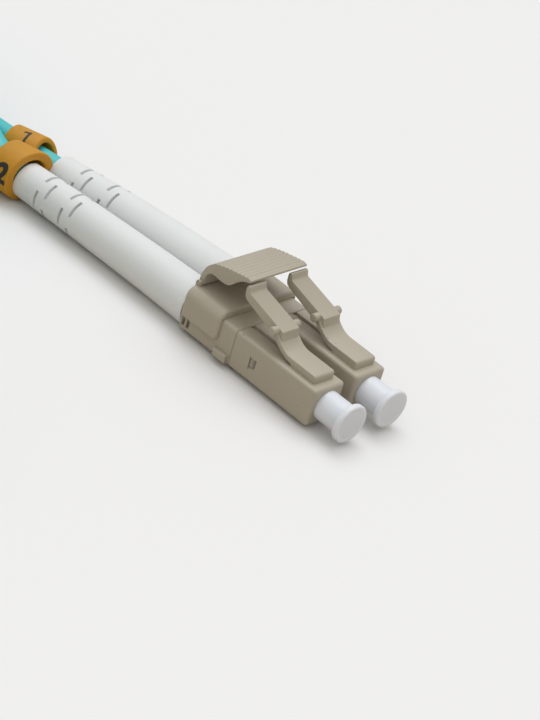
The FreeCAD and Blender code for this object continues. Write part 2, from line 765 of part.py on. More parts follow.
def make_base(label):
    """The clip's base: it carries on the plugs' outline, with a bore for each plug and each boot's collar."""
    body = new_body(label)
    sketch = across_y(body, clip_front)
    draw_box(sketch, as_size(0), 2 * base_half, -plug_top, plug_top)
    pad_back(body, sketch, d.clip_end - clip_front)
    soften(body, "Fillet", lambda e: runs_along(e, "y"), d.plug_edge)
    soften(body, "Chamfer", lambda e: near(e.BoundBox.YMax, clip_front), d.seam_edge)
    lug = sketch_on(body, "XY_Plane", d.lug_low)
    reach = base_half + d.lug_reach
    lug_back = d.lug_front + d.lug_long
    draw_outline(lug, [(-reach, d.lug_front), (reach, d.lug_front), (reach, lug_back), (-reach, lug_back)])
    grow(body, "Pad", lug, d.lug_tall)

    def on_lug(edge):
        box = edge.BoundBox
        return near(max(abs(box.XMin), abs(box.XMax)), reach) and near(abs(box.XMin + box.XMax), 2 * reach)

    soften(body, "Fillet", on_lug, d.lug_reach / 3)
    for side in (-1, 1):
        middle = side * d.pitch / 2
        front_bore = across_y(body, clip_front)
        draw_circle(front_bore, middle, 0, d.clip_bore)
        cut_back(body, front_bore, d.clip_bore_end - clip_front)
        rear_bore = across_y(body, d.clip_bore_end)
        draw_circle(rear_bore, middle, 0, d.collar_radius + d.fit)
        cut_back(body, rear_bore, d.clip_end - d.clip_bore_end)
    for side in (-1, 1):
        slots = sketch_on(body, "YZ_Plane", side * base_half)
        for n in range(2):
            back = d.clip_end - d.slot_long / 2 - n * d.slot_step
            front = back - d.slot_long
            corners = [(front, d.slot_low), (back, d.slot_low), (back, d.cover_low), (front, d.cover_low)]
            draw_outline(slots, corners)
        grow(body, "Pocket", slots, 2 * d.slot_deep, both_ways=True)
    return body


def make_cover(label):
    """The clip's cover: a saddle over the base with the cheeks that hold the trigger's root."""
    body = new_body(label)
    half = base_half + d.seat + d.cover_wall
    sketch = across_y(body, d.cover_front)
    draw_box(sketch, as_size(0), 2 * half, d.cover_low, d.cover_top)
    pad_back(body, sketch, d.clip_end - d.cover_front)

    def long_top(edge):
        return runs_along(edge, "y") and near(edge.BoundBox.ZMax, d.cover_top)

    soften(body, "Fillet", long_top, d.cover_round)

    def low_front(edge):
        box = edge.BoundBox
        return runs_along(edge, "x") and near(box.ZMax, d.cover_low) and near(box.YMax, d.cover_front)

    soften(body, "Fillet", low_front, d.cover_corner)

    def at_end(edge):
        box = edge.BoundBox
        flat = near(box.YMin, box.YMax)
        return flat and box.ZMax > 0 and (near(box.YMax, d.cover_front) or near(box.YMax, d.clip_end))

    soften(body, "Fillet", at_end, d.cover_edge)
    inside = across_y(body, d.cover_front - 1)
    draw_box(inside, as_size(0), 2 * (base_half + d.seat), d.cover_low - 1, plug_top + d.seat)
    cut_back(body, inside, d.clip_end - d.cover_front + 2)
    inner = d.trigger_width / 2 + d.seat
    for side in (-1, 1):
        middle = side * (inner + d.cheek_width / 2)
        front = d.pivot_place - 0.9 * d.pivot_radius
        top = d.pivot_height + 0.9 * d.pivot_radius
        base = d.cover_top - d.cover_round / 2
        cheek = [(front, base), (d.clip_end - d.seat, base), (d.clip_end - d.seat, top), (front, top)]
        side_profile(body, "Pad", cheek, d.cheek_width, middle)

    def cheek_top(edge):
        box = edge.BoundBox
        return runs_along(edge, "x") and near(box.ZMax, d.pivot_height + 0.9 * d.pivot_radius)

    soften(body, "Fillet", cheek_top, 0.6 * d.pivot_radius)
    pins = sketch_on(body, "YZ_Plane")
    draw_circle(pins, d.pivot_place, d.pivot_height, d.pin_radius + d.fit)
    grow(body, "Pocket", pins, 2 * (inner + d.cheek_width) + 1, both_ways=True)
    root = sketch_on(body, "YZ_Plane")
    draw_circle(root, d.pivot_place, d.pivot_height, d.pivot_radius + d.fit)
    grow(body, "Pocket", root, d.trigger_width + 2 * d.seat, both_ways=True)
    return body


def make_trigger(label):
    """The trigger: a bent flap with a ribbed top whose front edge lies over both levers' nubs."""
    body = new_body(label)
    root = sketch_on(body, "YZ_Plane")
    draw_circle(root, d.pivot_place, d.pivot_height, d.pivot_radius)
    grow(body, "Pad", root, d.trigger_width, both_ways=True)
    pins = sketch_on(body, "YZ_Plane")
    draw_circle(pins, d.pivot_place, d.pivot_height, d.pin_radius)
    grow(body, "Pad", pins, d.trigger_width + 2 * d.cheek_width, both_ways=True)
    wall = d.trigger_wall
    rib_long = (d.brow_place - d.lip_place) / d.rib_count
    rib_fall = (d.lip_height - d.brow_height) / d.rib_count
    ribs = []
    for n in range(int(d.rib_count.value)):
        crest = (d.brow_place - n * rib_long, d.brow_height + n * rib_fall)
        valley = (crest[0] - 0.75 * rib_long, crest[1] + 0.75 * rib_fall - d.rib_depth)
        ribs += [crest, valley]
    rear_wall = []
    for n in range(1, 4):
        share = n / 4
        bulge = 4 * share * (1 - share) * d.heel_bulge
        along = d.heel_place + share * (d.crest_place - d.heel_place) + bulge
        rear_wall.append((along, d.heel_height + share * (d.crest_height - d.heel_height)))
    outline = [
        (d.heel_place, d.pivot_height),
        (d.heel_place, d.heel_height),
        *rear_wall,
        (d.crest_place, d.crest_height),
        *ribs,
        (d.lip_place, d.lip_height),
        (d.lip_place, d.lip_height - wall),
        (d.hollow_place, d.hollow_low),
        (d.belly_front, d.belly_front_low),
        (d.belly_rear, d.belly_rear_low),
        (d.crest_place, d.belly_rear_low - wall / 4),
        (d.heel_place - wall, d.heel_height),
        (d.heel_place - 1.6 * wall, d.pivot_height),
    ]
    side_profile(body, "Pad", outline, d.trigger_width)

    def bend_at(places):
        spots = [(as_size(y).value, as_size(z).value) for y, z in places]

        def found(edge):
            box = edge.BoundBox
            return runs_along(edge, "x") and any(near(box.YMin, y) and near(box.ZMin, z) for y, z in spots)

        return found

    corner = bend_at([(d.crest_place, d.crest_height)])
    soften(body, "Fillet", corner, 2 * d.trigger_wall)
    under = bend_at([(d.belly_front, d.belly_front_low), (d.belly_rear, d.belly_rear_low)])
    soften(body, "Fillet", under, d.trigger_wall)
    return body


# ---------------------------------------------------------------- cords


def tube_along(label, points, radius):
    """A round tube along straight runs joined by tangent arcs. Prints each arc's radius."""
    corners = [FreeCAD.Vector(*p) for p in points]
    edges, start, radii = [], corners[0], []
    for before, corner, after in zip(corners, corners[1:], corners[2:]):
        back, ahead = (before - corner), (after - corner)
        reach = 0.45 * min(back.Length, ahead.Length)
        half_turn = (math.pi - back.getAngle(ahead)) / 2
        radii.append(reach / math.tan(half_turn))
        first = corner + back.normalize() * reach
        last = corner + ahead.normalize() * reach
        bisector = (back + ahead).normalize()
        middle = corner + bisector * (radii[-1] / math.cos(half_turn) - radii[-1])
        edges.append(Part.LineSegment(start, first).toShape())
        edges.append(Part.Arc(first, middle, last).toShape())
        start = last
    edges.append(Part.LineSegment(start, corners[-1]).toShape())
    path = Part.Wire(edges)
    along = corners[1] - corners[0]
    section = Part.Wire([Part.makeCircle(radius, corners[0], along)])
    tube = doc.addObject("Part::Feature", label)
    tube.Shape = path.makePipeShell([section], True, True)
    tube.Label = label
    parts.append(tube)
    share = tube.Shape.Volume / (math.pi * radius**2 * path.Length)
    print(f"{label}: {path.Length:.1f} mm, radii {[round(r) for r in radii]}, volume share {share:.4f}")
    return tube


def table_point(x, y, z):
    """A route point, given behind the near plug faces, in the table's frame."""
    return (x - middle_x.value, y - middle_y.value, z)


def make_coil(label, level):
    """The outer shape of one cord's turns: a flat ring with rounded edges, `level` rings up."""
    body = new_body(label)
    half = d.coil_rows * d.cord_radius
    low = level * 2 * d.coil_layers * d.cord_radius
    high = low + 2 * d.coil_layers * d.cord_radius
    inner, outer = d.coil_radius - half, d.coil_radius + half
    points = [(inner, low), (outer, low), (outer, high), (inner, high)]
    turned(body, "Revolution", points, about="Z_Axis", role="XZ_Plane")
    soften(body, "Fillet", lambda e: near(e.BoundBox.ZMin, e.BoundBox.ZMax), 0.6 * d.cord_radius)
    x, y = d.coil_x - middle_x, d.coil_y - middle_y
    body.Placement = FreeCAD.Placement(FreeCAD.Vector(x.value, y.value, 0), FreeCAD.Rotation())
    bind(body, "Placement.Base.x", x)
    bind(body, "Placement.Base.y", y)
    return body


# ---------------------------------------------------------------- the two connectors

straight = as_size(0)
NEAR = {
    "name": "",
    "x": straight,
    "y": straight,
    "bends": [(d.boot_side_1, d.boot_drop_1), (d.boot_side_2, d.boot_drop_2)],
}
FAR = {"name": "far_", "x": d.far_x, "y": d.far_y, "bends": 2 * [(d.far_boot_side, straight)]}


def make_connector(connector):
    name = connector["name"]
    for number, side, bend in zip((1, 2), (1, -1), connector["bends"]):
        across = side * d.pitch / 2
        pieces = [
            make_housing(f"{name}plug_{number}"),
            make_lever(f"{name}latch_{number}"),
            make_ferrule(f"{name}ferrule_{number}"),
            make_holder(f"{name}ferrule_holder_{number}"),
            make_spring(f"{name}spring_{number}"),
            make_rear_body(f"{name}rear_body_{number}"),
            make_sleeve(f"{name}crimp_sleeve_{number}"),
            make_boot(f"{name}boot_{number}", *bend),
            make_cap(f"{name}dust_cap_{number}"),
        ]
        for piece in pieces:
            place(piece, connector, across)
    for make, piece in ((make_base, "clip_base"), (make_cover, "clip_cover"), (make_trigger, "trigger")):
        place(make(f"{name}{piece}"), connector)


make_connector(NEAR)
make_connector(FAR)

# each marker ring's middle and how it is turned about Z, behind the near plug faces and above the table
RINGS = [
    ("marker_1", 0.85, 48.45, 2.8, 6),
    ("marker_2", -4.85, 48.45, 2.8, 1.5),
    ("far_marker_1", -45.93, 61.7, 2.8, 6.6),
    ("far_marker_2", -52.17, 61.7, 2.8, 4.6),
]
for label, x, y, z, turn in RINGS:
    ring = make_ring(label)
    spot = FreeCAD.Vector(*table_point(x, y, z))
    ring.Placement = FreeCAD.Placement(spot, FreeCAD.Rotation(FreeCAD.Vector(0, 0, 1), turn))

# hand-chosen route points, behind the near plug faces and above the table
ROUTES = {
    "cord_1": [
        (3.125, 18.6, 2.68),
        (2.81, 27, 2.64),
        (2.1, 35, 2.55),
        (1.12, 43.1, 2.46),
        (0.37, 48.4, 2.35),
        (0.1, 55, 2.0),
        (0.25, 62, 1.6),
        (0.1, 70, 1.5),
    ],
    "cord_2": [
        (-3.125, 18.6, 2.68),
        (-3.28, 27, 2.67),
        (-3.62, 35, 2.64),
        (-4.09, 43.1, 2.58),
        (-4.4, 48.4, 2.5),
        (-4.1, 54.2, 3.9),
        (-2.1, 59.5, 6.7),
        (-0.6, 65.5, 7.8),
        (0.1, 73, 7.5),
    ],
    "cord_1_tail": [
        (-29.4, 96.5, 4.5),
        (-36.9, 92.9, 4.45),
        (-43.5, 87.7, 4.2),
        (-47.7, 80.6, 3.6),
        (-48.4, 73.2, 3.0),
        (-46.95, 67.2, 2.75),
        (-45.9, 61.4, 2.69),
        (-45.35, 50.4, 2.68),
        (-45.0, 41, 2.68),
        (-44.875, 31.6, 2.68),
    ],
    "cord_2_tail": [
        (-27.9, 96.9, 10.5),
        (-35.4, 94.3, 10.3),
        (-43.0, 91.1, 9.2),
        (-49.5, 86.2, 7.2),
        (-53.0, 79, 4.9),
        (-53.35, 72.2, 3.4),
        (-52.75, 66.9, 2.75),
        (-52.15, 61.4, 2.69),
        (-51.6, 50.4, 2.68),
        (-51.25, 41, 2.68),
        (-51.125, 31.6, 2.68),
    ],
}
for label, points in ROUTES.items():
    tube_along(label, [table_point(*p) for p in points], d.cord_radius.value)
make_coil("cord_1_coil", 0)
make_coil("cord_2_coil", 1)

# ---------------------------------------------------------------- checks and export

doc.recompute()
for thing in doc.Objects:
    if "Invalid" in thing.State or "Error" in thing.State:
        raise RuntimeError(f"{thing.Label} did not build: {thing.State}")
for part in parts:
    if part.Shape.isNull() or not part.Shape.isValid():
        raise RuntimeError(f"{part.Label} has no valid shape")
    if len(part.Shape.Solids) != 1:
        raise RuntimeError(f"{part.Label} has {len(part.Shape.Solids)} solids")
os.makedirs("parts", exist_ok=True)
for part in parts:
    part.Shape.exportStep(f"parts/{part.Label}.step")
print(len(parts), "parts")
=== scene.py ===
import math

import bmesh
import bpy
from mathutils import Matrix, Vector


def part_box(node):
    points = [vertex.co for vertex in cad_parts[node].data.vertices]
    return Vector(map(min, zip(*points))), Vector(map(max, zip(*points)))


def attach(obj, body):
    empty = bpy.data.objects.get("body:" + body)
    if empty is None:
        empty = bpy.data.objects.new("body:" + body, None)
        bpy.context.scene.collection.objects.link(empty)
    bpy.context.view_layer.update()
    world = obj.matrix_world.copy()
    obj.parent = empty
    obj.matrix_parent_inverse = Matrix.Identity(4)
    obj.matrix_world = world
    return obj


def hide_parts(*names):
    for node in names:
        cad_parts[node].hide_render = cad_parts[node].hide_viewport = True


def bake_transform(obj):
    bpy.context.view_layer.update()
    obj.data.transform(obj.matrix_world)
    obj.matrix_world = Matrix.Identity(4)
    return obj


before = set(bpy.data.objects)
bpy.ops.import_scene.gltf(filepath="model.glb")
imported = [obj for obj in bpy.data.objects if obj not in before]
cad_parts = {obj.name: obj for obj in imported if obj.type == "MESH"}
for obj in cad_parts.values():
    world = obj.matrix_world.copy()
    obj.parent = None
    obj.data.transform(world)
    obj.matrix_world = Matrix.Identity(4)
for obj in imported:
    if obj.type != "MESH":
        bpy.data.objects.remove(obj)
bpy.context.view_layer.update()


# ---------------------------------------------------------------- plug housings and clip
# The two plug housings and the clip's base and cover are injection-moulded in one warm grey plastic, and the
# clip snaps over both plugs. The mould leaves a fine even grain on every face, a soft sheen, and here and
# there a dark speck in the plastic.

# the near connector's pieces have plain names, and the far one's the same names after far_
SIDES = ("", "far_")
HOUSING_LIGHT = (0.462, 0.418, 0.332, 1)
HOUSING_DARK = (0.43, 0.388, 0.304, 1)
HOUSING_SPECK = (0.09, 0.06, 0.035, 1)


class Value:
    """A shader value with Python's arithmetic: each operation adds its Math node."""

    def __init__(self, shading, socket):
        self.shading, self.socket = shading, socket

    def maths(self, operation, first, second):
        node = self.shading.add("ShaderNodeMath", {"operation": operation}, {0: first, 1: second})
        return self.shading.out(node, "Value")

    def __add__(self, other):
        return self.maths("ADD", self, other)

    def __radd__(self, other):
        return self.maths("ADD", other, self)

    def __mul__(self, other):
        return self.maths("MULTIPLY", self, other)

    def __rmul__(self, other):
        return self.maths("MULTIPLY", other, self)


class Shading:
    """A material's or a world's nodes, with its coordinates at hand and its shader's constants filled in."""

    def __init__(self, owner, shader, coordinates, constants):
        owner.use_nodes = True
        self.tree = owner.node_tree
        self.shader = self.tree.nodes[shader]
        self.place = self.out(self.add("ShaderNodeTexCoord", {}, {}), coordinates)
        self.fill(self.shader, constants)

    def add(self, kind, settings, sockets):
        """Every node comes from here: its type, its settings, then the values or links of its sockets."""
        node = self.tree.nodes.new(kind)
        for key, value in settings.items():
            if key == "stops":
                for stop, (at, colour) in zip(node.color_ramp.elements, value):
                    stop.position, stop.color = at, colour
            else:
                setattr(node, key, value)
        self.fill(node, sockets)
        return node

    def fill(self, node, sockets):
        for key, value in sockets.items():
            if isinstance(value, Value):
                self.tree.links.new(value.socket, node.inputs[key])
            else:
                node.inputs[key].default_value = value

    def out(self, node, name):
        return Value(self, node.outputs[name])


class Recipe(Shading):
    """A material on its object's own coordinates, with its Principled shader's constants."""

    def __init__(self, name, constants):
        self.material = bpy.data.materials.new(name)
        super().__init__(self.material, "Principled BSDF", "Object", constants)

    def noise(self, per_metre, detail, stretch=None):
        """Noise between 0 and 1 with so many cells in a metre."""
        place = self.place
        if stretch:
            mapping = self.add("ShaderNodeMapping", {}, {"Vector": self.place, "Scale": stretch})
            place = self.out(mapping, "Vector")
        sockets = {"Vector": place, "Scale": per_metre, "Detail": detail}
        return self.out(self.add("ShaderNodeTexNoise", {}, sockets), "Fac")

    def ramp(self, value, low, high):
        """A number that follows value between two stops of (at, number)."""
        greys = [(at, (number, number, number, 1)) for at, number in (low, high)]
        return self.out(self.add("ShaderNodeValToRGB", {"stops": greys}, {"Fac": value}), "Color")

    def mix(self, factor, first, second):
        """Two colours, mixed by factor."""
        node = self.add("ShaderNodeMix", {"data_type": "RGBA"}, {0: factor, 6: first, 7: second})
        return Value(self, node.outputs[2])

    def colour(self, value):
        self.fill(self.shader, {"Base Color": value})

    def roughness(self, value):
        self.fill(self.shader, {"Roughness": value})

    def bump(self, height, depth, strength):
        """Feeds Normal from a height between 0 and 1, depth metres deep."""
        node = self.add("ShaderNodeBump", {}, {"Height": height, "Distance": depth, "Strength": strength})
        self.fill(self.shader, {"Normal": self.out(node, "Normal")})


def dress(node, material):
    """Gives a CAD node its material in place of the plain one."""
    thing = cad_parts[node]
    thing.data.materials.clear()
    thing.data.materials.append(material)


def moulded_plastic(name, light, dark, speck):
    """Moulded plastic: a faint drift of colour, rare specks, and the mould's fine grain."""
    recipe = Recipe(name, {"IOR": 1.48})
    drift = recipe.noise(160, detail=3)
    specks = recipe.ramp(recipe.noise(2600, detail=1), low=(0.795, 0.0), high=(0.815, 0.7))
    recipe.colour(recipe.mix(specks, recipe.mix(drift, dark, light), speck))
    grain = recipe.noise(5200, detail=2)
    recipe.roughness(0.36 + grain * 0.12)
    recipe.bump(grain, 0.00001, 0.35)
    return recipe.material


housing_plastic = moulded_plastic("housing_plastic", HOUSING_LIGHT, HOUSING_DARK, HOUSING_SPECK)
for side in SIDES:
    for piece in ("clip_base", "clip_cover"):
        dress(side + piece, housing_plastic)
    for number in "12":
        dress(f"{side}plug_{number}", housing_plastic)


# ---------------------------------------------------------------- latch levers
# Each lever is moulded in one piece with its plug, in the same plastic. A thick root stands on the housing,
# the arm bends where it leaves the root, and behind the step a narrower tail carries the ridge that the
# trigger presses. Sizes are in millimetres, from the plug's face and the plug's axis.

MM = 0.001
PLUG_HALF_TALL = 2.21
LEVER_WIDTH = 2.94
LEVER_FRONT_ROUND = 0.3
LEVER_EDGE = 0.09
TAIL_WIDTH = 2.5
TAIL_EDGE = 0.07
EAR_SPAN = 4.05
EAR_RADIUS = 0.47
EAR_EDGE = 0.14
EAR_PLACE = (7.75, 4.6)
ARM_PROFILE = [
    (1.13, 1.9),
    (4.55, 1.9),
    (4.66, 2.4),
    (5.4, 2.52),
    (6.2, 2.86),
    (6.95, 3.33),
    (7.6, 3.85),
    (8.15, 4.3),
    (7.95, 4.72),
    (7.6, 4.78),
    (7.3, 4.5),
    (6.95, 4.1),
    (6.6, 3.78),
    (6.2, 3.49),
    (5.8, 3.28),
    (5.35, 3.13),
    (4.9, 3.085),
    (1.13, 3.08),
]
TAIL_PROFILE = [
    (6.35, 3.2),
    (7.2, 3.62),
    (9.3, 4.29),
    (12.45, 5.3),
    (12.78, 5.52),
    (12.92, 5.9),
    (12.95, 6.6),
    (12.87, 6.83),
    (12.7, 6.92),
    (12.52, 6.86),
    (12.4, 6.66),
    (12.33, 6.38),
    (12.18, 6.2),
    (7.1, 4.92),
    (6.86, 4.8),
    (6.6, 3.6),
]


def grow(bm, faces, way):
    """Extrudes faces into a closed body."""
    grown = bmesh.ops.extrude_face_region(bm, geom=faces)["geom"]
    bmesh.ops.translate(bm, vec=way, verts=[v for v in grown if isinstance(v, bmesh.types.BMVert)])


def slab(profile, width):
    """A closed slab: an outline in (y, z) carried across X, half to each side of the middle."""
    bm = bmesh.new()
    grow(bm, [bm.faces.new([bm.verts.new((-width / 2, y, z)) for y, z in profile])], (width, 0, 0))
    return bm


def cross_bar(y, z, radius, width):
    """A round bar across X."""
    bm = bmesh.new()
    bmesh.ops.create_cone(bm, cap_ends=True, segments=28, radius1=radius, radius2=radius, depth=width)
    bmesh.ops.rotate(bm, verts=bm.verts, cent=(0, 0, 0), matrix=Matrix.Rotation(math.pi / 2, 3, "Y"))
    bmesh.ops.translate(bm, verts=bm.verts, vec=(0, y, z))
    return bm


def round_edges(bm, wanted, size, segments=3):
    """Rounds the edges whose two ends are as wanted."""
    edges = [edge for edge in bm.edges if wanted(*(v.co for v in edge.verts))]
    shape = {"affect": "EDGES", "profile": 0.5, "material": -1, "clamp_overlap": True}
    bmesh.ops.bevel(bm, geom=edges, offset=size, segments=segments, **shape)


def finished(name, parts, spot, material, sharp=35):
    """One object from several closed shells in millimetres, with its place in its mesh."""
    whole = bpy.data.meshes.new(name)
    bm = bmesh.new()
    for part in parts:
        bmesh.ops.recalc_face_normals(part, faces=part.faces)
        shell = bpy.data.meshes.new("shell")
        part.to_mesh(shell)
        part.free()
        bm.from_mesh(shell)
        bpy.data.meshes.remove(shell)
    bmesh.ops.transform(bm, matrix=Matrix.Translation(spot) @ Matrix.Scale(MM, 4), verts=bm.verts)
    bm.to_mesh(whole)
    bm.free()
    whole.shade_smooth()
    whole.set_sharp_from_angle(angle=math.radians(sharp))
    whole.materials.append(material)
    thing = bpy.data.objects.new(name, whole)
    bpy.context.scene.collection.objects.link(thing)
    return thing


def plug_axis(node):
    """The middle of a plug's face, from its box."""
    low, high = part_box(node)
    return Vector(((low.x + high.x) / 2, low.y, low.z + PLUG_HALF_TALL * MM))


def side_edge(a, b):
    """True for an edge round one of the two flat sides of a slab."""
    return abs(a.x - b.x) < 1e-6


def front_top_edge(a, b):
    """True for the edge across the lever's root, at its front and top."""
    return abs(a.x - b.x) > 1 and max(a.y, b.y) < 1.2 and min(a.z, b.z) > 3


def lever_shells():
    arm = slab(ARM_PROFILE, LEVER_WIDTH)
    round_edges(arm, front_top_edge, LEVER_FRONT_ROUND, 5)
    round_edges(arm, side_edge, LEVER_EDGE)
    tail = slab(TAIL_PROFILE, TAIL_WIDTH)
    round_edges(tail, side_edge, TAIL_EDGE)
    ears = cross_bar(*EAR_PLACE, EAR_RADIUS, EAR_SPAN)
    round_edges(ears, side_edge, EAR_EDGE)
    return [arm, tail, ears]


for side in SIDES:
    for number in "12":
        latch = f"{side}latch_{number}"
        spot = plug_axis(f"{side}plug_{number}")
        lever = finished(f"{side}lever_{number}", lever_shells(), spot, housing_plastic)
        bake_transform(lever)
        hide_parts(latch)


# ---------------------------------------------------------------- trigger
# One broad flap over both levers, moulded in one piece with the clip's cover and in the same plastic. Its
# wall arches up from the root, its top is ribbed for the finger, and its front edge is thinned to a lip. Its
# outline goes over the outside from the root to the lip, then back underneath.

TRIGGER_WIDTH = 8.4
TRIGGER_EDGE = 0.05
TRIGGER_ROOT = (18.98, 3.4)
ROOT_RADIUS = 0.36
PIN_RADIUS = 0.2
PIN_SPAN = TRIGGER_WIDTH + 0.84
RIBS_FROM, RIBS_TO = 18.1, 13.0
RIB_COUNT = 9
RIB_HEIGHT = 0.09
RIB_ROUNDNESS = 0.7
STEPS_OUTSIDE, STEPS_INSIDE = 32, 4
TRIGGER_OUTSIDE = [
    (19.3, 3.3),
    (19.28, 3.9),
    (19.12, 4.7),
    (18.82, 5.4),
    (18.35, 5.97),
    (17.7, 6.37),
    (16.9, 6.66),
    (15.9, 6.92),
    (14.9, 7.12),
    (13.9, 7.32),
    (12.95, 7.46),
]
TRIGGER_INSIDE = [
    (12.78, 7.42),
    (12.72, 7.28),
    (12.8, 7.15),
    (13.3, 6.95),
    (13.9, 6.66),
    (14.5, 6.2),
    (15.0, 5.6),
    (15.5, 5.2),
    (16.3, 5.06),
    (17.2, 5.12),
    (17.95, 5.08),
    (18.4, 4.75),
    (18.66, 4.2),
    (18.7, 3.7),
    (18.66, 3.3),
]


def flowing(points, steps):
    """A smooth line through points, `steps` to a span."""
    line = []
    ends = [points[0], *points, points[-1]]
    for before, start, stop, after in zip(ends, ends[1:], ends[2:], ends[3:]):
        for step in range(steps):
            t = step / steps
            weights = (
                (-t + 2 * t * t - t**3) / 2,
                (2 - 5 * t * t + 3 * t**3) / 2,
                (t + 4 * t * t - 3 * t**3) / 2,
                (-t * t + t**3) / 2,
            )
            quad = (before, start, stop, after)
            line.append(tuple(sum(w * p[axis] for w, p in zip(weights, quad)) for axis in (0, 1)))
    return [*line, points[-1]]


def ribbed(points):
    """The same line, with round ribs and narrow valleys between the two ends of the ribbed top."""
    span = (RIBS_FROM - RIBS_TO) / RIB_COUNT
    line = []
    for y, z in points:
        share = min(max((RIBS_FROM - y) / span, 0), RIB_COUNT)
        line.append((y, z + RIB_HEIGHT * abs(math.sin(math.pi * share)) ** RIB_ROUNDNESS))
    return line


trigger_outline = ribbed(flowing(TRIGGER_OUTSIDE, STEPS_OUTSIDE)) + flowing(TRIGGER_INSIDE, STEPS_INSIDE)
for side in SIDES:
    middle = (plug_axis(side + "plug_1") + plug_axis(side + "plug_2")) / 2
    flap = slab(trigger_outline, TRIGGER_WIDTH)
    round_edges(flap, side_edge, TRIGGER_EDGE, 2)
    root = cross_bar(*TRIGGER_ROOT, ROOT_RADIUS, TRIGGER_WIDTH)
    pins = cross_bar(*TRIGGER_ROOT, PIN_RADIUS, PIN_SPAN)
    trigger = finished(side + "trigger_flap", [flap, root, pins], middle, housing_plastic)
    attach(trigger, side + "trigger")
    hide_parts(side + "trigger")


# ---------------------------------------------------------------- ferrules, holders, springs and crimps
# Inside each plug a polished white zirconia ferrule is pressed into a turned metal holder, with a drawn steel
# spring behind it. The rear body is moulded like the housing and snaps into it, and the crimp sleeve on its
# post is drawn, plated and squeezed over the cord's yarn.

HOLDER_LIGHT, HOLDER_DARK = (0.66, 0.63, 0.57, 1), (0.55, 0.52, 0.46, 1)
SPRING_LIGHT, SPRING_DARK = (0.58, 0.58, 0.57, 1), (0.45, 0.45, 0.44, 1)
CRIMP_LIGHT, CRIMP_DARK = (0.68, 0.53, 0.27, 1), (0.56, 0.42, 0.2, 1)
REAR_LIGHT, REAR_DARK, REAR_SPECK = (0.41, 0.38, 0.32, 1), (0.37, 0.345, 0.285, 1), (0.06, 0.05, 0.04, 1)
ZIRCONIA_LIGHT, ZIRCONIA_DARK = (0.87, 0.86, 0.82, 1), (0.83, 0.81, 0.76, 1)


def turned_metal(name, light, dark, smoothest):
    """Turned or drawn metal: fine rings round the plug's axis and a little unevenness."""
    recipe = Recipe(name, {"Metallic": 1.0})
    rings = recipe.noise(900, detail=2, stretch=(0.05, 9.0, 0.05))
    recipe.colour(recipe.mix(rings, dark, light))
    recipe.roughness(smoothest + rings * 0.12)
    recipe.bump(rings, 0.000004, 0.4)
    return recipe.material


def polished_ceramic():
    recipe = Recipe("polished_ceramic", {"Roughness": 0.12, "IOR": 1.9})
    recipe.colour(recipe.mix(recipe.noise(700, detail=2), ZIRCONIA_DARK, ZIRCONIA_LIGHT))
    recipe.bump(recipe.noise(9000, detail=1), 0.000002, 0.2)
    return recipe.material


inner_finish = {
    "ferrule": polished_ceramic(),
    "ferrule_holder": turned_metal("holder_metal", HOLDER_LIGHT, HOLDER_DARK, 0.22),
    "spring": turned_metal("spring_steel", SPRING_LIGHT, SPRING_DARK, 0.19),
    "rear_body": moulded_plastic("rear_plastic", REAR_LIGHT, REAR_DARK, REAR_SPECK),
    "crimp_sleeve": turned_metal("crimp_metal", CRIMP_LIGHT, CRIMP_DARK, 0.26),
}
for side in SIDES:
    for number in "12":
        for piece, finish in inner_finish.items():
            dress(f"{side}{piece}_{number}", finish)


# ---------------------------------------------------------------- boots
# The bend-relief boots are moulded in a soft white rubber with a dull, slightly cool surface, and each is
# held by its collar in the clip. Light sinks a little way into them, so the slits show as pale grey lines.

BOOT_LIGHT, BOOT_DARK = (0.785, 0.80, 0.80, 1), (0.74, 0.765, 0.765, 1)
BOOT_GLOW = {"Subsurface Weight": 0.25, "Subsurface Radius": (0.9, 1.0, 1.0), "Subsurface Scale": 0.0006}


def boot_rubber():
    recipe = Recipe("boot_rubber", {"IOR": 1.45, **BOOT_GLOW})
    recipe.colour(recipe.mix(recipe.noise(220, detail=3), BOOT_DARK, BOOT_LIGHT))
    skin = recipe.noise(3800, detail=2)
    recipe.roughness(0.5 + skin * 0.12)
    recipe.bump(skin, 0.000012, 0.3)
    return recipe.material


boot_finish = boot_rubber()
for side in SIDES:
    for number in "12":
        dress(f"{side}boot_{number}", boot_finish)


# ---------------------------------------------------------------- dust caps
# The dust caps are moulded in milky white polyethylene, softer and waxier than the housings. Each is a dished
# flange on a short tube that is pushed over the ferrule and grips it.

CAP_LIGHT, CAP_DARK = (0.78, 0.81, 0.86, 1), (0.73, 0.765, 0.82, 1)
CAP_GLOW = {"Subsurface Weight": 0.4, "Subsurface Radius": (1.0, 1.0, 1.0), "Subsurface Scale": 0.0008}


def milky_plastic():
    recipe = Recipe("milky_plastic", {"IOR": 1.5, **CAP_GLOW})
    recipe.colour(recipe.mix(recipe.noise(420, detail=2), CAP_DARK, CAP_LIGHT))
    skin = recipe.noise(4200, detail=2)
    recipe.roughness(0.34 + skin * 0.12)
    recipe.bump(skin, 0.00001, 0.25)
    return recipe.material


cap_finish = milky_plastic()
for side in SIDES:
    for number in "12":
        dress(f"{side}dust_cap_{number}", cap_finish)


# ---------------------------------------------------------------- cords
# Two round cords with an extruded, smooth aqua jacket, each crimped at both ends, run from the boots to the
# far connector. The length between is put away in two neat coils, one on the other. Route points are in
# millimetres: across, behind the near plug faces, and above the table.

CORD_WIDTH = 3.0
JACKET_LIGHT, JACKET_DARK = (0.075, 0.6, 0.635, 1), (0.058, 0.53, 0.565, 1)
COIL_MIDDLE = (-22.4, 75.0)
COIL_OUTER = 22.5
COIL_ROWS = 4
COIL_TURNS = 7.25
STEPS_A_TURN = 16
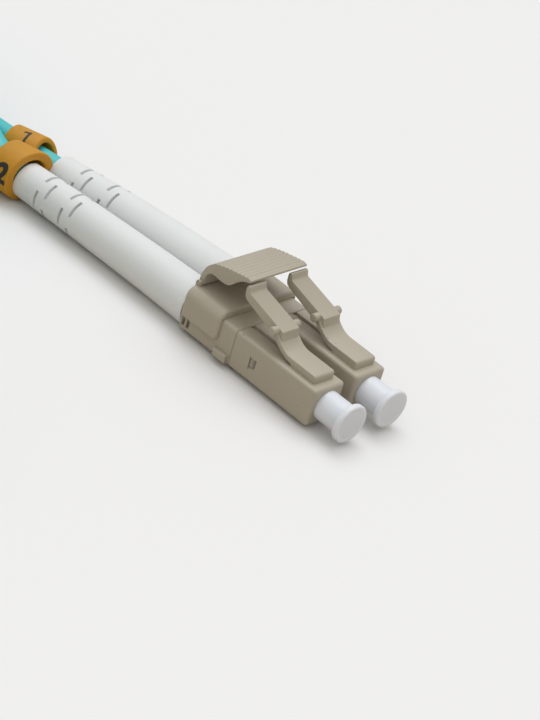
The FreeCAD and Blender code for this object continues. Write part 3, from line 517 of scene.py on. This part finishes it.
# where in a turn the cord steps to the next row or layer: the step's start and its length, in turns
INWARD_STEP, UPWARD_STEP, OUTWARD_STEP = (0.8, 0.2), (0.6, 0.2), (0.34, 0.16)
ROUTES = {
    "cord_1": [
        (3.125, 18.6, 2.68),
        (2.81, 27, 2.64),
        (2.1, 35, 2.55),
        (1.12, 43.1, 2.46),
        (0.37, 48.4, 2.35),
        (0.1, 55, 2.0),
        (0.25, 62, 1.6),
        (0.1, 70, 1.5),
    ],
    "cord_2": [
        (-3.125, 18.6, 2.68),
        (-3.28, 27, 2.67),
        (-3.62, 35, 2.64),
        (-4.09, 43.1, 2.58),
        (-4.4, 48.4, 2.5),
        (-4.1, 54.2, 3.9),
        (-2.1, 59.5, 6.7),
        (-0.6, 65.5, 7.8),
        (0.1, 73, 7.5),
    ],
    "cord_1_tail": [
        (-29.4, 96.5, 4.5),
        (-36.9, 92.9, 4.45),
        (-43.5, 87.7, 4.2),
        (-47.7, 80.6, 3.6),
        (-48.4, 73.2, 3.0),
        (-46.95, 67.2, 2.75),
        (-45.9, 61.4, 2.69),
        (-45.35, 50.4, 2.68),
        (-45.0, 41, 2.68),
        (-44.875, 31.6, 2.68),
    ],
    "cord_2_tail": [
        (-27.9, 96.9, 10.5),
        (-35.4, 94.3, 10.3),
        (-43.0, 91.1, 9.2),
        (-49.5, 86.2, 7.2),
        (-53.0, 79, 4.9),
        (-53.35, 72.2, 3.4),
        (-52.75, 66.9, 2.75),
        (-52.15, 61.4, 2.69),
        (-51.6, 50.4, 2.68),
        (-51.25, 41, 2.68),
        (-51.125, 31.6, 2.68),
    ],
}
# the route points' origin: midway across the two near plugs, at their faces, on the table
near_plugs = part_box("plug_1")[0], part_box("plug_2")[1]
origin = Vector(((near_plugs[0].x + near_plugs[1].x) / 2, near_plugs[0].y, 0))


def on_table(x, y, z):
    """A point given in millimetres across, behind the near plug faces and above the table."""
    return origin + Vector((x, y, z)) * MM


def stepped(share, step):
    """0 before a step, 1 after it, with a soft start and end."""
    start, long = step
    value = min(max((share - start) / long, 0.0), 1.0)
    return value * value * (3 - 2 * value)


def coil_points(low):
    """One cord's turns: inwards in the lower layer, up beside the middle, and outwards in the upper layer.

    Each turn steps sideways at the same place, one after another, so that no turn meets the next.
    """
    points = []
    last_row = COIL_ROWS - 1
    swell = 1 / math.cos(math.pi / STEPS_A_TURN)
    for step in range(int(COIL_TURNS * STEPS_A_TURN) + 1):
        turn, share = divmod(step / STEPS_A_TURN, 1)
        if turn < last_row:
            row, layer = turn + stepped(share, INWARD_STEP), 0
        elif turn == last_row:
            row, layer = last_row, stepped(share, UPWARD_STEP)
        else:
            row, layer = last_row - (turn - COIL_ROWS) - stepped(share, OUTWARD_STEP), 1
        radius = (COIL_OUTER - row * CORD_WIDTH) * swell
        angle = 2 * math.pi * share
        x = COIL_MIDDLE[0] + radius * math.cos(angle)
        y = COIL_MIDDLE[1] + radius * math.sin(angle)
        points.append((x, y, low + CORD_WIDTH * (layer + 0.5)))
    return points


def jacket():
    recipe = Recipe("cord_jacket", {"IOR": 1.5, "Coat Weight": 0.08})
    recipe.colour(recipe.mix(recipe.noise(300, detail=2), JACKET_DARK, JACKET_LIGHT))
    skin = recipe.noise(2400, detail=2)
    recipe.roughness(0.36 + skin * 0.14)
    recipe.bump(skin, 0.000015, 0.35)
    return recipe.material


def far_pieces(number):
    """What lies on a cord's far end, apart from its marker ring: the far connector's pieces."""
    nodes = [f"far_{kind}_{number}" for kind in ("plug", "boot", "dust_cap", *inner_finish)]
    skins = ["far_lever_" + number]
    if number == "1":
        nodes += ["far_clip_base", "far_clip_cover"]
        skins.append("far_trigger_flap")
    return [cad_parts[node] for node in nodes] + [bpy.data.objects[skin] for skin in skins]


jacket_finish = jacket()
cords = {}
for level, number in enumerate("12"):
    label = f"cord_{number}"
    low = level * 2 * CORD_WIDTH
    route = [on_table(*p) for p in ROUTES[label] + coil_points(low) + ROUTES[label + "_tail"]]
    curve = bpy.data.curves.new(label + "_line", "CURVE")
    curve.dimensions = "3D"
    curve.bevel_depth = CORD_WIDTH / 2 * MM
    curve.bevel_resolution = 6
    curve.resolution_u = 8
    curve.use_fill_caps = True
    spline = curve.splines.new("NURBS")
    spline.points.add(len(route) - 1)
    for point, spot in zip(spline.points, route):
        point.co = (*spot, 1)
    spline.order_u = 3
    spline.use_endpoint_u = True
    cord = bpy.data.objects.new(label + "_line", curve)
    bpy.context.scene.collection.objects.link(cord)
    curve.materials.append(jacket_finish)
    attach(cord, "connector")
    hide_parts(label, label + "_coil", label + "_tail")
    cords[number] = cord


# ---------------------------------------------------------------- marker rings
# A short tube of soft orange-yellow plastic is slipped on each cord, with its channel's number printed in
# black. Its front end is cut on a slant, it rests on the table with the cord loose in it, and cord 2's is
# pressed a little flat. The number reads along the cord, towards the plug.

MARKER_LIGHT, MARKER_DARK = (0.62, 0.305, 0.014, 1), (0.53, 0.235, 0.008, 1)
MARKER_GLOW = {"Subsurface Weight": 0.4, "Subsurface Radius": (1.0, 0.45, 0.08), "Subsurface Scale": 0.0008}
INK_LIGHT, INK_DARK = (0.05, 0.035, 0.02, 1), (0.012, 0.01, 0.008, 1)
RING_LIP = 0.24
RING_STEPS = 72
RING_CLEARS = 0.02
INK_STANDS = 0.02
INK_BOLDER = 0.045
INK_SLICES = 16
# "outside" gives the radius at the front and at the rear, and "slants" how far the front end leans back at
# the top and at the right. "printed" is the number's distance from the front end, angle from the top, and
# height.
RINGS = {
    "marker_1": {
        "across": -0.05, "front": 48.4, "long": 4.9, "turn": 12.0, "outside": (2.5, 2.32), "hole": 1.88,
        "flat": 1.0, "slants": (0.9, 0.0), "printed": (2.3, -23.0, 1.9),
    },
    "marker_2": {
        "across": -4.35, "front": 45.95, "long": 3.7, "turn": 9.0, "outside": (3.4, 3.22), "hole": 2.22,
        "flat": 0.87, "slants": (0.1, -0.6), "printed": (1.2, -77.0, 2.85),
    },
    "far_marker_1": {
        "across": -45.93, "front": 59.7, "long": 4.0, "turn": 6.6, "outside": (2.8, 2.7), "hole": 2.1,
        "flat": 1.0, "slants": (0.6, 0.0), "printed": (2.0, -30.0, 1.9),
    },
    "far_marker_2": {
        "across": -52.17, "front": 59.7, "long": 4.0, "turn": 4.6, "outside": (2.8, 2.7), "hole": 2.1,
        "flat": 1.0, "slants": (0.3, 0.2), "printed": (2.0, -50.0, 2.0),
    },
}
# an upright stroke with its flag, for a one that is 1 tall
ONE = [(0.0, 0.0), (0.19, 0.0), (0.19, 1.0), (0.02, 1.0), (-0.36, 0.88), (-0.36, 0.73), (0.0, 0.8)]


def marker_plastic():
    recipe = Recipe("marker_plastic", {"IOR": 1.46, **MARKER_GLOW})
    recipe.colour(recipe.mix(recipe.noise(260, detail=3), MARKER_DARK, MARKER_LIGHT))
    skin = recipe.noise(2600, detail=2)
    recipe.roughness(0.44 + skin * 0.16)
    recipe.bump(skin, 0.000025, 0.4)
    return recipe.material


def printing_ink():
    recipe = Recipe("printing_ink", {"Roughness": 0.55})
    patchy = recipe.noise(3000, detail=3)
    recipe.colour(recipe.mix(patchy, INK_DARK, INK_LIGHT))
    recipe.bump(patchy, 0.00001, 0.3)
    return recipe.material


def ring_shell(radius, hole, long):
    """A short straight tube with rounded lips, its front end at y = 0."""
    bm = bmesh.new()
    section = [(hole, 0), (radius, 0), (radius, long), (hole, long)]
    wall = bm.faces.new([bm.verts.new((x, y, 0)) for x, y in section])
    lips = {"affect": "VERTICES", "segments": 5, "profile": 0.5, "material": -1}
    bmesh.ops.bevel(bm, geom=wall.verts[:], offset=RING_LIP, **lips)
    bmesh.ops.delete(bm, geom=bm.faces[:], context="FACES_ONLY")
    around = {"cent": (0, 0, 0), "axis": (0, 1, 0), "angle": 2 * math.pi, "steps": RING_STEPS}
    bmesh.ops.spin(bm, geom=bm.verts[:] + bm.edges[:], use_merge=True, **around)
    bmesh.ops.remove_doubles(bm, verts=bm.verts, dist=1e-4)
    return bm


def shape_on_table(bm, ring):
    """Narrows the straight tube to the rear, slants its front end and presses it flat, with its foot at 0."""
    front_radius, rear_radius = ring["outside"]
    back_at_top, back_at_right = ring["slants"]
    for vert in bm.verts:
        x, y, z = vert.co
        share = y / ring["long"]
        reach = math.hypot(x, z)
        narrower = (front_radius - rear_radius) * share
        kept = 1 - narrower * (reach - ring["hole"]) / (front_radius - ring["hole"]) / reach
        lean = (back_at_top * z + back_at_right * x) / front_radius * (1 - share)
        vert.co = (x * kept, y + lean, (z * kept + front_radius - narrower) * ring["flat"])


def flat_number(text):
    """The number lying flat: its own outline for a one, and a letter shape for the rest."""
    bm = bmesh.new()
    if text == "1":
        bm.faces.new([bm.verts.new((x, y, 0)) for x, y in ONE])
        bmesh.ops.triangulate(bm, faces=bm.faces[:])
        return bm
    letters = bpy.data.curves.new("letters", "FONT")
    letters.body = text
    letters.offset = INK_BOLDER
    source = bpy.data.objects.new("letters", letters)
    bpy.context.scene.collection.objects.link(source)
    bpy.context.view_layer.update()
    flat = bpy.data.meshes.new_from_object(source)
    bpy.data.objects.remove(source)
    bm.from_mesh(flat)
    bpy.data.meshes.remove(flat)
    bmesh.ops.remove_doubles(bm, verts=bm.verts, dist=1e-5)
    return bm


def printed_number(text, radius, behind, angle, tall):
    """A number printed on the straight tube: its foot is towards the table and it reads towards the plug."""
    bm = flat_number(text)
    xs, ys = [v.co.x for v in bm.verts], [v.co.y for v in bm.verts]
    middle, foot = (min(xs) + max(xs)) / 2, min(ys)
    size = tall / (max(ys) - foot)
    for n in range(1, INK_SLICES):
        everything = bm.verts[:] + bm.edges[:] + bm.faces[:]
        level = foot + tall / size * n / INK_SLICES
        bmesh.ops.bisect_plane(bm, geom=everything, plane_co=(0, level, 0), plane_no=(0, 1, 0))
    grow(bm, bm.faces[:], (0, 0, 1))
    for vert in bm.verts:
        across = (vert.co.x - middle) * size
        upward = ((vert.co.y - foot) * size - tall / 2) / radius + math.radians(angle)
        reach = radius - INK_STANDS + 2 * INK_STANDS * vert.co.z
        vert.co = (reach * math.sin(upward), behind - across, reach * math.cos(upward))
    return bm


marker_finish, ink = marker_plastic(), printing_ink()
for label, ring in RINGS.items():
    radius, half = ring["outside"][0], ring["long"] / 2
    shell = ring_shell(radius, ring["hole"], ring["long"])
    digits = printed_number(label[-1], radius, *ring["printed"])
    spot = Matrix.Translation((ring["across"], ring["front"] + half, RING_CLEARS))
    spot = spot @ Matrix.Rotation(math.radians(ring["turn"]), 4, "Z") @ Matrix.Translation((0, -half, 0))
    for bm in (shell, digits):
        shape_on_table(bm, ring)
        bmesh.ops.transform(bm, matrix=spot, verts=bm.verts)
    tube = finished(f"{label}_ring", [shell], origin, marker_finish, sharp=50)
    print_on = finished(f"{label}_number", [digits], origin, ink)
    for piece in (tube, print_on):
        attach(piece, "connector")
    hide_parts(label)

for number, cord in cords.items():
    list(far_pieces(number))


# ---------------------------------------------------------------- floor
# A plain pale floor. To the camera it is a light grey, and the light it sends back to the part is dimmer and
# warmer.

FLOOR_SIZE = 3
FLOOR_SEEN = (0.862, 0.862, 0.862, 1)
FLOOR_BOUNCE = (0.62, 0.575, 0.52, 1)

bm = bmesh.new()
bmesh.ops.create_grid(bm, x_segments=1, y_segments=1, size=FLOOR_SIZE)
floor_mesh = bpy.data.meshes.new("floor")
bm.to_mesh(floor_mesh)
bm.free()
floor = bpy.data.objects.new("floor", floor_mesh)
bpy.context.scene.collection.objects.link(floor)
floor_paint = Recipe("floor", {"Roughness": 0.9, "Specular IOR Level": 0.1})
seen = floor_paint.out(floor_paint.add("ShaderNodeLightPath", {}, {}), "Is Camera Ray")
floor_paint.colour(floor_paint.mix(seen, FLOOR_BOUNCE, FLOOR_SEEN))
floor_mesh.materials.append(floor_paint.material)


# ---------------------------------------------------------------- light
# A wide soft sky that is brightest overhead, and one broad lamp from the rear right.

SKY_LOW, SKY_HIGH = 0.34, 0.94
SKY_COLOUR = (1.0, 0.98, 0.935, 1)
LAMP_POWER = 0.95
LAMP_SPREAD = math.radians(40)
LAMP_COLOUR = (0.975, 1.005, 1.1)
LAMP_FROM = Vector((0.36, 0.36, 1.25))

bpy.context.scene.world = bpy.data.worlds.new("studio")
sky = Shading(bpy.context.scene.world, "Background", "Generated", {"Color": SKY_COLOUR})
height = sky.out(sky.add("ShaderNodeSeparateXYZ", {}, {"Vector": sky.place}), "Z")
limits = {"Value": height, "To Min": SKY_LOW, "To Max": SKY_HIGH}
brightness = sky.out(sky.add("ShaderNodeMapRange", {"clamp": True}, limits), "Result")
sky.fill(sky.shader, {"Strength": brightness})

lamp_data = bpy.data.lights.new("lamp", "SUN")
lamp_data.energy = LAMP_POWER
lamp_data.color = LAMP_COLOUR
lamp_data.angle = LAMP_SPREAD
lamp = bpy.data.objects.new("lamp", lamp_data)
bpy.context.scene.collection.objects.link(lamp)
lamp.rotation_euler = LAMP_FROM.to_track_quat("Z", "Y").to_euler()


# ---------------------------------------------------------------- camera
# A long lens looks down on the plugs from the front left. Its places are in millimetres.

CAMERA_PLACE = Vector((-211.67, -164.66, 162.46))
CAMERA_AIM = Vector((0.8, -10.1, 0.0))
CAMERA_ROLL = math.radians(17.18)
CAMERA_LENS = 147.1
SENSOR_WIDTH = 36
CLIP_START, CLIP_END = 0.01, 20

camera_data = bpy.data.cameras.new("camera")
camera_data.lens = CAMERA_LENS
camera_data.sensor_width = SENSOR_WIDTH
camera_data.clip_start = CLIP_START
camera_data.clip_end = CLIP_END
camera = bpy.data.objects.new("camera", camera_data)
bpy.context.scene.collection.objects.link(camera)
look = (CAMERA_PLACE - CAMERA_AIM).to_track_quat("Z", "Y").to_matrix()
turned = (look @ Matrix.Rotation(CAMERA_ROLL, 3, "Z")).to_4x4()
camera.matrix_world = Matrix.Translation(CAMERA_PLACE * MM) @ turned
bpy.context.scene.camera = camera

bpy.context.scene.view_settings.view_transform = "Standard"
